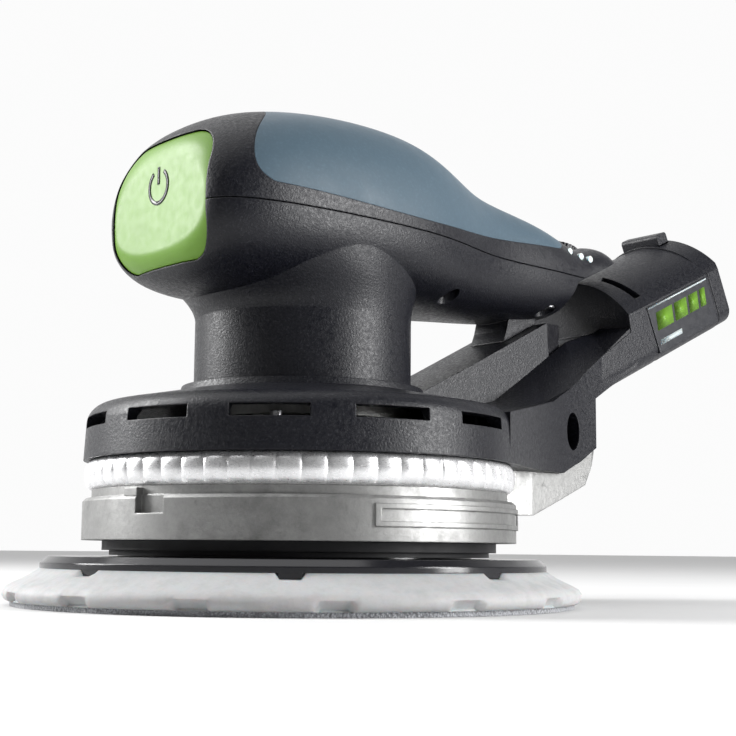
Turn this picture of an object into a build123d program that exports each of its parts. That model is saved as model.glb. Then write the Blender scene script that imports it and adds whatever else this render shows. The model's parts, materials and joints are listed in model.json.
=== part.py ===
"""Compact random-orbit sander with a round 150 mm pad, built as a bench assembly.

Frame: millimetres, +Z up, +X towards the dust outlet at the rear, origin where the drive axis
meets the underside of the sanding pad.
"""

import os
from math import cos, pi, radians, sin

from build123d import *

# ---- driving dimensions -------------------------------------------------------------------
ORBIT = 1.5  # eccentric offset: half of the 3 mm sanding stroke
PAD_CENTRE = (-ORBIT, 0)  # the pad rests displaced towards the nose
PAD_RADIUS = 75.0
FOAM_TOP_RADIUS = 66.0
HOOK_TOP = 1.2  # hook-and-loop face
FOAM_TOP = 9.3
PLATE_TOP = 12.3
EDGE_NOTCHES = 15  # air notches round the rim of the pad
NOTCH_START = 23.25
PLATE_TABS = 8
TAB_START = 7.0

HOUSING_RADIUS = 57.2  # aluminium fan housing
HOUSING_BOTTOM = 16.4
HOUSING_STEP = 27.0  # top of the wide band, under the groove
GROOVE_RADIUS = 54.9
RING_BOTTOM = 29.3  # ribbed cooling ring
RING_TOP = 36.9
RING_RIBS = 60
CHAMBER_RADIUS = 51.5  # room for the fan

COVER_TOP = 57.0  # plastic base cover, where it meets the neck
NECK_RADIUS = 29.2
NECK_INNER = 26.7
NECK_FOOT = 51.0  # where the neck stands on the bearing bracket
PARTING = 98.0  # height of the joint between the two grip shells
SEAM = 0.3  # visible gap at that joint
WALL = 2.6
GRIP_SKIN = 1.5  # soft overmould let into the upper shell

SHAFT_RADIUS = 6.0
SHAFT_TOP_RADIUS = 4.0
RUNNING = 0.05  # radial clearance of a running fit
BEARING_OUTER = 14.0

BUTTON_CENTRE = 101.0
BUTTON_WIDTH = 43.2
BUTTON_HEIGHT = 32.4
TAIL_CLEAR = 33.6  # underside of the tail, measured square to the dust duct
TAIL_KNEE = 14.8  # where that underside begins, measured along the duct
TAIL_END = 111.5
GRIP_SCREWS = [(36.0, 19.0), (36.0, -19.0), (83.0, 12.0), (83.0, -12.0)]
SCREW_SEAT = 90.0
BOARD_BOTTOM = 93.0
BOARD_POSTS = (40.0, 72.0)
LIGHTS = [(89.7, 105.8), (94.8, 105.0), (99.0, 104.7)]  # X, Z on the -Y side of the tail
TERMINALS = (-8.0, -4.0, 0.0, 4.0, 8.0)
DIAL_RADIUS = 7.2
DIAL_PLANE = Plane(origin=(101.0, 0, 107.4), x_dir=(0, 1, 0), z_dir=(0.208, 0, 0.978))

BRACKET_SCREW_RADIUS = 46.0
DUCT_WIDTH_HALF = 26.0  # metal duct beside the fan housing
DUCT_SCREW = (64.0, 18.4)  # X and half spacing of the screws under the metal duct
DUCT_ANGLE = 24.5  # rise of the dust duct towards the outlet
DUCT_FOOT = (91.7, 59.5)  # X, Z where the underside of the duct begins to rise
DUCT_HALF = 24.0
DUCT_SHOULDER = 18.5
DUCT_CREST = 31.0
DUCT_END = 70.5  # distance along the duct where the hood ends
COLLAR_END = 79.0
PASSAGE_HALF = 16.0
OUTLET_RADIUS = 12.0  # clear bore for a 24 mm dust connector
OUTLET_CENTRE = 15.2  # height of the outlet axis above the duct's underside
SLEEVE_FOOT = 40.0
SEAL_AT = 64.0
LATCH_AT = 71.6
LATCH_FLOOR = 29.0

# Base cover behind the neck: side-view heights of the side walls, the sloping flanks and the deck.
WALL_TOP = [(30, 50.0), (44, 52.5), (54, 54.2), (68, 57.0), (82, 63.5), (95, 72.5), (112, 85.5)]
FLANK_TOP = [(30, 51.5), (47, 54.6), (61, 57.8), (76, 67.6), (92, 78.4), (105, 82.6), (112, 86.4)]
DECK_TOP = [(30, 57.0), (52, 67.5), (60, 71.5), (84, 83.5), (85, 66.5), (109, 82.0), (112, 84.0)]
COVER_FOOT = [(91.7, 45.2), (84.2, 41.0), (74.0, RING_TOP), (30, RING_TOP)]  # lower edge behind the ring
FLANK_HALF = 26.0
DECK_HALF = 12.0

# Grip body stations: X, half width, top Z, bottom Z. The widest line is at the parting height.
GRIP = [
    (-47.0, 20.5, 111.5, 89.0),
    (-45.6, 25.0, 116.8, 85.0),
    (-42.0, 28.6, 120.6, 82.0),
    (-36.0, 31.2, 124.0, 80.0),
    (-24.0, 33.2, 127.8, 79.0),
    (-8.0, 33.8, 130.2, 79.0),
    (10.0, 33.0, 130.8, 79.5),
    (26.0, 30.4, 129.2, 80.4),
    (38.0, 26.6, 125.6, 81.2),
    (50.0, 22.8, 120.8, 82.0),
    (66.0, 20.6, 117.4, 83.0),
    (84.0, 19.4, 113.6, 85.0),
    (100.0, 17.8, 110.2, 88.5),
    (116.0, 14.5, 106.4, 92.0),
]
# Neck flare under the grip: Z, centre X, half length, half width.
FLARE = [
    (75.0, 0.0, NECK_RADIUS, NECK_RADIUS),
    (79.0, -0.8, 30.4, 29.8),
    (83.5, -2.8, 34.0, 31.0),
    (89.0, -5.0, 38.6, 32.2),
    (95.0, -6.5, 40.5, 33.0),
]


# ---- shared helpers -----------------------------------------------------------------------
def keep(name, builder):
    """Label a finished piece and write its STEP file."""
    builder.part.label = name
    export_step(builder.part, f"parts/{name}.step")


def oval_points(half_width, top, bottom, middle, power=2.45, count=16):
    """Points of a squarish oval whose upper and lower halves have their own heights."""
    points = []
    for step in range(count):
        angle = 2 * pi * step / count
        across = abs(cos(angle)) ** (2 / power)
        up = abs(sin(angle)) ** (2 / power)
        reach = top - middle if sin(angle) >= 0 else middle - bottom
        side = 1 if cos(angle) >= 0 else -1
        lift = 1 if sin(angle) >= 0 else -1
        points.append((half_width * side * across, middle + reach * lift * up))
    return points


def grip_body(inset=0.0):
    """Closed grip volume, pulled in by inset on every side."""
    first, last = GRIP[0][0], GRIP[-1][0]
    shrink = (last - first - 2 * inset) / (last - first)
    with BuildPart() as body:
        for x, half_width, top, bottom in GRIP:
            place = first + inset + (x - first) * shrink
            with BuildSketch(Plane.YZ.offset(place)):
                with BuildLine():
                    outline = oval_points(half_width - inset, top - inset, bottom + inset, PARTING)
                    Spline(*outline, periodic=True)
                make_face()
        loft()
    return body


def neck_body(inset=0.0, foot=COVER_TOP - 6):
    """Round neck that flares into the underside of the grip."""
    with BuildPart() as body:
        with BuildSketch(Plane.XY.offset(foot)):
            Circle(NECK_RADIUS - inset)
        extrude(amount=FLARE[0][0] - foot)
        with BuildPart(mode=Mode.PRIVATE) as flare:
            for z, centre, half_length, half_width in FLARE:
                with BuildSketch(Plane.XY.offset(z)):
                    with Locations((centre, 0)):
                        Ellipse(half_length - inset, half_width - inset)
            loft()
        add(flare.part)
    return body


def bay_floor(x):
    """Height of the battery bay's floor at a given X."""
    return 66.5 + (x - 85.0) * (82.0 - 66.5) / (109.0 - 85.0)


def side_prism(points, half):
    """A side-view polygon (X, Z) extruded to both sides of the middle plane."""
    with BuildPart() as prism:
        with BuildSketch(Plane.XZ):
            with BuildLine():
                Polyline(*points, close=True)
            make_face()
        extrude(amount=half, both=True)
    return prism.part


def ring(outer, inner, low, high, centre=(0, 0)):
    """Plain ring about a vertical axis."""
    with BuildPart() as body:
        with BuildSketch(Plane.XY.offset(low)):
            with Locations(centre):
                Circle(outer)
                if inner:
                    Circle(inner, mode=Mode.SUBTRACT)
        extrude(amount=high - low)
    return body.part


def duct_plane(along):
    """Plane square to the dust duct: local X is the row's Y, local Y is up across the duct."""
    angle = radians(DUCT_ANGLE)
    origin = (DUCT_FOOT[0] + along * cos(angle), 0, DUCT_FOOT[1] + along * sin(angle))
    return Plane(origin=origin, x_dir=(0, 1, 0), z_dir=(cos(angle), 0, sin(angle)))


def duct_point(along, up):
    """Row X and Z of a point given along and across the duct."""
    angle = radians(DUCT_ANGLE)
    return (
        DUCT_FOOT[0] + along * cos(angle) - up * sin(angle),
        DUCT_FOOT[1] + along * sin(angle) + up * cos(angle),
    )


def arch_face(half, shoulder, crest, foot=0.0, corner=5.0):
    """Arched duct section: rounded bottom corners, straight sides and a curved roof."""
    with BuildSketch(mode=Mode.PRIVATE) as section:
        with BuildLine():
            base = Polyline((half, shoulder), (half, foot), (-half, foot), (-half, shoulder))
            ThreePointArc(base @ 0, (0, crest), base @ 1)
        make_face()
        corners = section.vertices().group_by(Axis.Y)[0]
        fillet(corners, corner)
    return section.sketch


# ---- sanding pad --------------------------------------------------------------------------
def build_pad():
    """Backing pad that orbits: hook face, foam, plate, spindle, bolt and washer."""
    dust_rings = ((8, 32.5, 4.5), (8, 47.0, 3.0), (16, 62.0, 2.5))

    def dust_holes(low, high):
        with BuildPart(mode=Mode.PRIVATE) as holes:
            with BuildSketch(Plane.XY.offset(low)):
                for count, radius, hole in dust_rings:
                    with Locations(PAD_CENTRE):
                        with PolarLocations(radius, count):
                            Circle(hole)
            extrude(amount=high - low)
        return holes.part

    with BuildPart() as hook_face:
        with BuildSketch():
            with Locations(PAD_CENTRE):
                Circle(73.0)
                Circle(11.0, mode=Mode.SUBTRACT)
        extrude(amount=HOOK_TOP)
        add(dust_holes(-1, HOOK_TOP + 1), mode=Mode.SUBTRACT)
    keep("hook_face", hook_face)

    with BuildPart() as pad_foam:
        with BuildSketch(Plane.XZ):
            with BuildLine():
                Polyline((11, FOAM_TOP), (11, HOOK_TOP), (73.6, HOOK_TOP))
                ThreePointArc((73.6, HOOK_TOP), (PAD_RADIUS, 3.0), (74.2, 4.9))
                ThreePointArc((74.2, 4.9), (69.6, 7.0), (FOAM_TOP_RADIUS, FOAM_TOP))
                Line((FOAM_TOP_RADIUS, FOAM_TOP), (11, FOAM_TOP))
            make_face()
        revolve(axis=Axis.Z)
        with PolarLocations(73.5, EDGE_NOTCHES, start_angle=NOTCH_START):
            Box(8, 7, 2.6, mode=Mode.SUBTRACT)
        with PolarLocations(FOAM_TOP_RADIUS - 1.0, PLATE_TABS, start_angle=TAB_START):
            with Locations((0, 0, FOAM_TOP)):
                Box(7, 6.2, 2.8, mode=Mode.SUBTRACT)
    pad_foam.part = pad_foam.part.moved(Location((*PAD_CENTRE, 0))) - dust_holes(0, FOAM_TOP + 1)
    keep("pad_foam", pad_foam)

    with BuildPart() as backing_plate:
        with BuildSketch(Plane.XY.offset(FOAM_TOP)):
            Circle(FOAM_TOP_RADIUS)
        extrude(amount=PLATE_TOP - FOAM_TOP)
        chamfer(backing_plate.edges().group_by(Axis.Z)[-1], 1.6)
        with PolarLocations(FOAM_TOP_RADIUS - 1.6, PLATE_TABS, start_angle=TAB_START):
            with Locations((0, 0, FOAM_TOP)):
                Box(3, 5.6, 2.6)
        with BuildSketch(Plane.XY.offset(PLATE_TOP)):
            Circle(46.5)
            Circle(44.5, mode=Mode.SUBTRACT)
            Circle(19)
        extrude(amount=0.7)
        with Locations((0, 0, FOAM_TOP)):
            Cylinder(4.2, 12, mode=Mode.SUBTRACT)
        with BuildSketch(Plane.XY.offset(FOAM_TOP - 2)):
            with PolarLocations(32.5, 8):
                Circle(4.5)
        extrude(amount=8, mode=Mode.SUBTRACT)
    backing_plate.part = backing_plate.part.moved(Location((*PAD_CENTRE, 0)))
    keep("backing_plate", backing_plate)

    with BuildPart() as pad_spindle:
        with BuildSketch(Plane.XY.offset(PLATE_TOP + 0.7)):
            with Locations(PAD_CENTRE):
                Circle(9.5)
        extrude(amount=1.3)
        with BuildSketch(Plane.XY.offset(PLATE_TOP + 2.0)):
            with Locations(PAD_CENTRE):
                Circle(SHAFT_RADIUS - RUNNING)
        extrude(amount=8.0)
        chamfer(pad_spindle.edges().group_by(Axis.Z)[-1], 0.6)
        with Locations((*PAD_CENTRE, 16)):
            Cylinder(4.0, 8.4, mode=Mode.SUBTRACT)
    keep("pad_spindle", pad_spindle)

    with BuildPart() as pad_bolt:
        with BuildSketch(Plane.XY.offset(3.4)):
            with Locations(PAD_CENTRE):
                RegularPolygon(6.5, 6, major_radius=False)
        extrude(amount=4.4)
        with BuildSketch(Plane.XY.offset(7.8)):
            with Locations(PAD_CENTRE):
                Circle(3.95)
        extrude(amount=11.5)
        with BuildSketch(Plane.XY.offset(3.4)):
            with Locations(PAD_CENTRE):
                RegularPolygon(3.0, 6, major_radius=False)
        extrude(amount=3.0, mode=Mode.SUBTRACT)
    keep("pad_bolt", pad_bolt)

    with BuildPart() as pad_washer:
        add(ring(9.0, 4.3, 7.8, FOAM_TOP, PAD_CENTRE))
    keep("pad_washer", pad_washer)


# ---- rotor and drive ----------------------------------------------------------------------
def build_rotor():
    """Motor shaft with rotor, fan, eccentric hub, counterweight and spindle bearing."""
    hub_foot, hub_top = 14.6, 24.0
    with BuildPart() as motor_shaft:
        with BuildSketch(Plane.XY.offset(hub_top)):
            Circle(SHAFT_RADIUS)
        extrude(amount=53.0 - hub_top)
        with BuildSketch(Plane.XY.offset(53.0)):
            Circle(SHAFT_TOP_RADIUS)
        extrude(amount=43.5)
        chamfer(motor_shaft.edges().group_by(Axis.Z)[-1], 0.5)
    keep("motor_shaft", motor_shaft)

    with BuildPart() as rotor_core:
        add(ring(11.0, SHAFT_TOP_RADIUS, 60.0, 82.0))
        with BuildSketch(Plane.XY.offset(59)):
            with PolarLocations(7.6, 6):
                Circle(1.6)
        extrude(amount=25, mode=Mode.SUBTRACT)
    keep("rotor_core", rotor_core)

    with BuildPart() as rotor_magnets:
        for index in range(4):
            with BuildSketch(Plane.XY.offset(60.5).rotated((0, 0, 90 * index))):
                Circle(13.0)
                Circle(11.0, mode=Mode.SUBTRACT)
                Rectangle(40, 40, align=(Align.MAX, Align.CENTER), mode=Mode.SUBTRACT)
                with BuildSketch(mode=Mode.SUBTRACT):
                    with Locations(Location((0, 0), 41)):
                        Rectangle(40, 40, align=(Align.CENTER, Align.MIN))
                    with Locations(Location((0, 0), -41)):
                        Rectangle(40, 40, align=(Align.CENTER, Align.MAX))
            extrude(amount=21)
    keep("rotor_magnets", rotor_magnets)

    with BuildPart() as fan_impeller:
        add(ring(49.0, SHAFT_RADIUS, 34.5, 36.0))
        add(ring(12.0, SHAFT_RADIUS, 26.5, 34.5))
        with BuildSketch(Plane.XY.offset(26.5)):
            with PolarLocations(36.0, 18):
                with Locations(Location((0, 0), 32)):
                    Rectangle(25.0, 1.4)
        extrude(amount=8.0)
    keep("fan_impeller", fan_impeller)

    with BuildPart() as eccentric_hub:
        with BuildSketch(Plane.XY.offset(hub_foot)):
            with Locations(PAD_CENTRE):
                Circle(BEARING_OUTER + 3.2)
        extrude(amount=hub_top - hub_foot)
        with BuildSketch(Plane.XY.offset(hub_foot)):
            with Locations(PAD_CENTRE):
                Circle(BEARING_OUTER)
        extrude(amount=8.0, mode=Mode.SUBTRACT)
        add(ring(9.0, SHAFT_RADIUS, hub_top, 26.5))
    keep("eccentric_hub", eccentric_hub)

    with BuildPart() as counterweight:
        with BuildSketch(Plane.XY.offset(17.0)):
            Circle(34.0)
            with Locations(PAD_CENTRE):
                Circle(BEARING_OUTER + 3.25, mode=Mode.SUBTRACT)
            with Locations((6.0, 0)):
                Rectangle(80, 80, align=(Align.MAX, Align.CENTER), mode=Mode.SUBTRACT)
        extrude(amount=6.5)
    keep("counterweight", counterweight)

    with BuildPart() as spindle_bearing:
        add(ring(BEARING_OUTER, 11.6, hub_foot, hub_foot + 8, PAD_CENTRE))
        add(ring(8.6, SHAFT_RADIUS, hub_foot, hub_foot + 8, PAD_CENTRE))
        with Locations((*PAD_CENTRE, hub_foot + 4)):
            with PolarLocations(10.1, 9):
                Sphere(1.35)
    keep("spindle_bearing", spindle_bearing)


# ---- motor and frame ----------------------------------------------------------------------
def bearing(outer, inner, low, high, balls):
    """Deep-groove ball bearing: two races and a set of balls."""
    land = (outer - inner) * 0.28
    gap = (outer - inner) / 2 - land
    with BuildPart() as body:
        add(ring(outer, outer - gap / 2, low, high))
        add(ring(inner + gap / 2, inner, low, high))
        with Locations((0, 0, (low + high) / 2)):
            with PolarLocations((outer + inner) / 2, balls):
                Sphere(land * 0.98)
    return body


def build_motor():
    """Stator, windings, bearings, sensor board and the brackets that carry them."""
    keep("lower_bearing", bearing(BEARING_OUTER, SHAFT_RADIUS + RUNNING, 40.0, 48.0, 9))
    keep("upper_bearing", bearing(11.0, SHAFT_TOP_RADIUS + RUNNING, 88.0, 95.0, 7))

    with BuildPart() as stator_core:
        add(ring(26.5, 13.6, 60.0, 82.0))
        with BuildSketch(Plane.XY.offset(59)):
            with PolarLocations(18.2, 6):
                Circle(3.6)
        extrude(amount=25, mode=Mode.SUBTRACT)
    keep("stator_core", stator_core)

    with BuildPart() as stator_windings:
        with BuildSketch(Plane.XY.offset(56.5)):
            with PolarLocations(18.2, 6):
                Circle(3.4)
        extrude(amount=29)
        for low in (56.5, 82.0):
            add(ring(22.5, 14.6, low, low + 3.5))
    keep("stator_windings", stator_windings)

    with BuildPart() as sensor_board:
        add(ring(22.0, 14.8, 86.2, 87.4))
    keep("sensor_board", sensor_board)

    seat, floor = RING_TOP, RING_TOP + 2.8
    with BuildPart() as bearing_bracket:
        add(ring(53.4, 20.5, seat, floor))
        add(ring(21.0, BEARING_OUTER, floor - 0.7, 48.5))
        add(ring(21.0, 8.0, seat, floor))
        add(ring(29.0, 20.5, 48.0, NECK_FOOT))
        with BuildSketch(Plane.XY.offset(floor)):
            with PolarLocations(24.5, 6, start_angle=30):
                Rectangle(8.0, 2.5)
        extrude(amount=48.5 - floor)
        with BuildSketch(Plane.XY.offset(seat - 1)):
            with PolarLocations(36.5, 6):
                SlotOverall(18.0, 7.0, rotation=90)
            with PolarLocations(BRACKET_SCREW_RADIUS, 4, start_angle=45):
                Circle(1.6)
        extrude(amount=6, mode=Mode.SUBTRACT)
        with BuildSketch(Plane.XY.offset(seat - 1)):
            with PolarLocations(BRACKET_SCREW_RADIUS, 4, start_angle=45):
                Circle(3.0)
        extrude(amount=2.8, mode=Mode.SUBTRACT)
    keep("bearing_bracket", bearing_bracket)

    with BuildPart() as bracket_screws:
        with BuildSketch(Plane.XY.offset(seat + 0.1)):
            with PolarLocations(BRACKET_SCREW_RADIUS, 4, start_angle=45):
                Circle(2.9)
        extrude(amount=1.7)
        with BuildSketch(Plane.XY.offset(seat + 1.8)):
            with PolarLocations(BRACKET_SCREW_RADIUS, 4, start_angle=45):
                Circle(1.5)
        extrude(amount=8.2)
    keep("bracket_screws", bracket_screws)

    with BuildPart() as upper_bearing_bracket:
        add(ring(26.4, 24.0, 82.0, 88.0))
        add(ring(26.4, 11.0, 88.0, 91.0))
        add(ring(13.5, 11.0, 91.0, 95.0))
        with BuildSketch(Plane.XY.offset(87)):
            with PolarLocations(19.0, 4, start_angle=45):
                Circle(4.0)
        extrude(amount=5, mode=Mode.SUBTRACT)
    keep("upper_bearing_bracket", upper_bearing_bracket)


def build_fan_housing():
    """Aluminium housing round the fan, its dust duct, the ribbed ring and the pad brake."""
    low_line = [(38, 26.5), (40, 24.3), (62.4, 24.5), (74.0, 29.0), (86.3, 34.0), (89.2, 39.2)]
    duct_side = [*low_line, *COVER_FOOT[:3], (38, RING_TOP)]
    wide = DUCT_WIDTH_HALF
    with BuildPart() as fan_housing:
        with BuildSketch(Plane.XZ):
            with BuildLine():
                Polyline(
                    (CHAMBER_RADIUS, HOUSING_BOTTOM + 2.4),
                    (44.0, HOUSING_BOTTOM + 2.4),
                    (44.0, HOUSING_BOTTOM),
                    (HOUSING_RADIUS, HOUSING_BOTTOM),
                    (HOUSING_RADIUS, HOUSING_STEP - 0.8),
                    (HOUSING_RADIUS - 0.8, HOUSING_STEP),
                    (GROOVE_RADIUS, HOUSING_STEP),
                    (GROOVE_RADIUS, RING_BOTTOM),
                    (53.6, RING_BOTTOM),
                    (53.6, RING_TOP),
                    (CHAMBER_RADIUS, RING_TOP),
                    close=True,
                )
            make_face()
        revolve(axis=Axis.Z)
        with BuildPart(mode=Mode.PRIVATE) as duct:
            add(side_prism(duct_side, 30.0))
            with BuildSketch(Plane.XY.offset(20)):
                with BuildLine():
                    Polyline(
                        (30, wide), (62, wide), (89.6, 24.2), (91.2, 23.6), (92, 22),
                        (92, -22), (91.2, -23.6), (89.6, -24.2), (62, -wide), (30, -wide),
                        close=True,
                    )
                make_face()
            extrude(amount=30, mode=Mode.INTERSECT)
            with Locations((0, 0, 28)):
                Cylinder(GROOVE_RADIUS - 0.5, 30, mode=Mode.SUBTRACT)
        add(duct.part)
        channel = [(46, 28.6), (63, 28.6), (84.5, 37.4), (88.0, 42), (88.0, 48), (64, 48), (60, 35.2), (46, 35.2)]
        add(side_prism(channel, 14.0), mode=Mode.SUBTRACT)
        # raised rectangular frame on the -Y side and the bayonet cut-out at the front
        add(band(HOUSING_RADIUS + 0.5, HOUSING_RADIUS - 1, 19.8, 25.1, 250.0, 316.5))
        add(band(HOUSING_RADIUS + 1, HOUSING_RADIUS - 0.2, 21.0, 23.9, 251.5, 315.0), mode=Mode.SUBTRACT)
        add(band(HOUSING_RADIUS + 1, 55.2, 22.6, HOUSING_STEP + 1, 189.75, 198.75), mode=Mode.SUBTRACT)
        with BuildSketch(Plane.XY.offset(HOUSING_STEP - 0.2)):
            with PolarLocations(HOUSING_RADIUS - 1.6, 1, start_angle=187.4):
                Rectangle(2.6, 4.8)
        extrude(amount=1.9)
        for y in (-DUCT_SCREW[1], DUCT_SCREW[1]):
            with Locations((DUCT_SCREW[0], y, 20)):
                Cylinder(2.9, 9, align=(Align.CENTER, Align.CENTER, Align.MIN), mode=Mode.SUBTRACT)
                Cylinder(1.6, 30, align=(Align.CENTER, Align.CENTER, Align.MIN), mode=Mode.SUBTRACT)
    keep("fan_housing", fan_housing)

    with BuildPart() as duct_screws:
        for y in (-DUCT_SCREW[1], DUCT_SCREW[1]):
            with Locations((DUCT_SCREW[0], y, 26.8)):
                Cylinder(2.7, 2.2, align=(Align.CENTER, Align.CENTER, Align.MIN))
                Cylinder(1.5, 20, align=(Align.CENTER, Align.CENTER, Align.MIN))
    keep("duct_screws", duct_screws)

    with BuildPart() as cooling_ring:
        with BuildSketch(Plane.XZ):
            with BuildLine():
                low, high = RING_BOTTOM, RING_TOP
                Polyline((55.4, high), (53.7, high), (53.7, low), (54.6, low))
                ThreePointArc((54.6, low), (57.0, (low + high) / 2 - 0.4), (55.4, high))
            make_face()
        revolve(axis=Axis.Z)
        with BuildSketch(Plane.XY.offset(RING_BOTTOM + 1.0)):
            with PolarLocations(57.35, RING_RIBS):
                Circle(0.75)
        extrude(amount=RING_TOP - RING_BOTTOM, mode=Mode.SUBTRACT)
        add(side_prism([(40, 20), (70, 20), (70, 50), (40, 50)], DUCT_WIDTH_HALF + 0.4), mode=Mode.SUBTRACT)
    keep("cooling_ring", cooling_ring)

    with BuildPart() as pad_brake:
        with BuildSketch(Plane.XZ):
            with BuildLine():
                Polyline(
                    (44.0, HOUSING_BOTTOM),
                    (44.0, 14.4),
                    (48.6, 14.0),
                    (48.6, 12.7),
                    (50.0, 12.7),
                    (50.0, 13.9),
                    (51.9, 13.9),
                    (51.9, HOUSING_BOTTOM),
                    close=True,
                )
            make_face()
        revolve(axis=Axis.Z)
    keep("pad_brake", pad_brake)


def band(outer, inner, low, high, start, stop):
    """Ring segment between two angles."""
    with BuildPart() as body:
        with BuildSketch(Plane.XY.offset(low)):
            Circle(outer)
            Circle(inner, mode=Mode.SUBTRACT)
            with BuildSketch(mode=Mode.INTERSECT):
                with BuildLine():
                    arc = CenterArc((0, 0), 2 * outer, start, stop - start)
                    Line((0, 0), arc @ 0)
                    Line((0, 0), arc @ 1)
                make_face()
        extrude(amount=high - low)
    return body.part


# ---- base cover and dust duct -------------------------------------------------------------
def ramp(sign):
    """Sloping flank that rises from the low side wall to the side of the middle deck."""
    with BuildPart() as body:
        for half, tops in ((FLANK_HALF, WALL_TOP), (DECK_HALF, FLANK_TOP)):
            with BuildSketch(Plane.XZ.offset(sign * half)):
                with BuildLine():
                    Polyline(*tops, (110, 70.5), (91.7, 60.0), *COVER_FOOT, close=True)
                make_face()
        loft(ruled=True)
    return body.part


def rear_block():
    """Deck, flanks and side walls behind the neck, trimmed to the plan outline."""
    foot = [(112, 71.5), (91.7, 60.0), *COVER_FOOT]
    with BuildPart() as rear:
        add(side_prism([*DECK_TOP, *foot], DECK_HALF))
        add(side_prism([*WALL_TOP, *foot], 60.0))
        add(ramp(1))
        add(ramp(-1))
        with BuildSketch(Plane.XY.offset(30)):
            with BuildLine():
                right = Spline((20, 53.2), (40, 43.0), (62, 31.0), (84, 25.2), (114, DUCT_HALF))
                left = Spline((20, -53.2), (40, -43.0), (62, -31.0), (84, -25.2), (114, -DUCT_HALF))
                Line(right @ 0, left @ 0)
                Line(right @ 1, left @ 1)
            make_face()
        extrude(amount=70, mode=Mode.INTERSECT)
    return rear.part


def hood():
    """Arched hood along the duct axis, with its mouth cut square and a groove behind the lip."""
    with BuildPart() as body:
        with BuildSketch(duct_plane(0)):
            add(arch_face(DUCT_HALF, DUCT_SHOULDER, DUCT_CREST))
        extrude(amount=DUCT_END)
        mouth = [duct_point(25.1, 13.3), duct_point(30, 34), duct_point(-60, 34), duct_point(-60, 0.8)]
        add(side_prism(mouth, 40), mode=Mode.SUBTRACT)
        with BuildPart(mode=Mode.PRIVATE) as groove:
            with BuildSketch(duct_plane(34.5)):
                Rectangle(43, 60, align=(Align.CENTER, Align.MIN))
                Rectangle(18, 120, mode=Mode.SUBTRACT)
                add(arch_face(DUCT_HALF - 2.5, DUCT_SHOULDER - 1.5, DUCT_CREST - 2.5), mode=Mode.SUBTRACT)
            extrude(amount=3.0)
        add(groove.part, mode=Mode.SUBTRACT)
    return body.part


def build_base_cover():
    """Vented cover over the fan housing, in one moulding with the rising dust duct."""
    slot_angles = [180 + side * turn for side in (-1, 1) for turn in (15, 45, 75, 105)]
    with BuildPart() as base_cover:
        with BuildSketch(Plane.XZ):
            with BuildLine():
                Line((53.7, RING_TOP), (57.3, RING_TOP))
                Line((57.3, RING_TOP), (56.8, 46.6))
                RadiusArc((56.8, 46.6), (51.6, 51.6), -5.4)
                Polyline((51.6, 51.6), (33.0, 55.2), (32.4, COVER_TOP), (29.6, COVER_TOP))
                Polyline((29.6, COVER_TOP), (29.6, 53.2), (50.6, 49.3), (53.7, 46.0), (53.7, RING_TOP))
            make_face()
        revolve(axis=Axis.Z)
        add(rear_block())
        add(hood())
        # hollow for the fan bracket and neck, with bosses for the bracket screws
        with BuildPart(mode=Mode.PRIVATE) as hollow:
            with BuildSketch(Plane.XZ):
                with BuildLine():
                    Polyline(
                        (0, 30), (53.7, 30), (53.7, 46.0), (50.6, 49.3), (29.6, 53.2), (29.6, 62), (0, 62),
                        close=True,
                    )
                make_face()
            revolve(axis=Axis.Z)
            with BuildSketch(Plane.XY.offset(RING_TOP + 2.8)):
                with PolarLocations(BRACKET_SCREW_RADIUS, 4, start_angle=45):
                    Circle(4.0)
            extrude(amount=20, mode=Mode.SUBTRACT)
            with BuildSketch(Plane.XY.offset(RING_TOP)):
                with PolarLocations(BRACKET_SCREW_RADIUS, 4, start_angle=45):
                    Circle(1.6)
            extrude(amount=11)
        add(hollow.part, mode=Mode.SUBTRACT)
        # dust passage from the metal duct up to the outlet sleeve
        passage = [
            (66, 30),
            (88.6, 30),
            (88.6, 60.9),
            duct_point(45, 2.6),
            duct_point(45, 10.8),
            duct_point(33, 10.8),
            duct_point(20, 9.6),
            (86, 63.8),
            (80, 60.0),
            (66, 50.2),
        ]
        add(side_prism(passage, PASSAGE_HALF), mode=Mode.SUBTRACT)
        with BuildSketch(duct_plane(SLEEVE_FOOT)):
            with Locations((0, OUTLET_CENTRE)):
                Circle(OUTLET_RADIUS + 1.5)
        extrude(amount=COLLAR_END - SLEEVE_FOOT, mode=Mode.SUBTRACT)
        with BuildSketch(duct_plane(SEAL_AT)):
            with Locations((0, OUTLET_CENTRE)):
                Circle(OUTLET_RADIUS + 2.2)
        extrude(amount=2.2, mode=Mode.SUBTRACT)
        # vent slots, duct screw holes, side recesses and label recesses
        for turn in slot_angles:
            slot_plane = Plane.XY.offset(46.3).rotated((0, 0, turn))
            with Locations(slot_plane):
                with Locations((55, 0, 0)):
                    Box(12, 19.0, 3.0, mode=Mode.SUBTRACT)
        for y in (-DUCT_SCREW[1], DUCT_SCREW[1]):
            with Locations((DUCT_SCREW[0], y, 30)):
                Cylinder(1.6, 17.5, align=(Align.CENTER, Align.CENTER, Align.MIN), mode=Mode.SUBTRACT)
        for sign in (-1, 1):
            with BuildSketch(Plane.XZ.offset(sign * 20.5)):
                with Locations((79.5, 49.3)):
                    Ellipse(3.4, 5.5)
            extrude(amount=sign * 12, mode=Mode.SUBTRACT)
            add(label_block(sign * (DUCT_HALF - 0.5), sign * 2.0), mode=Mode.SUBTRACT)
    keep("base_cover", base_cover)


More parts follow.
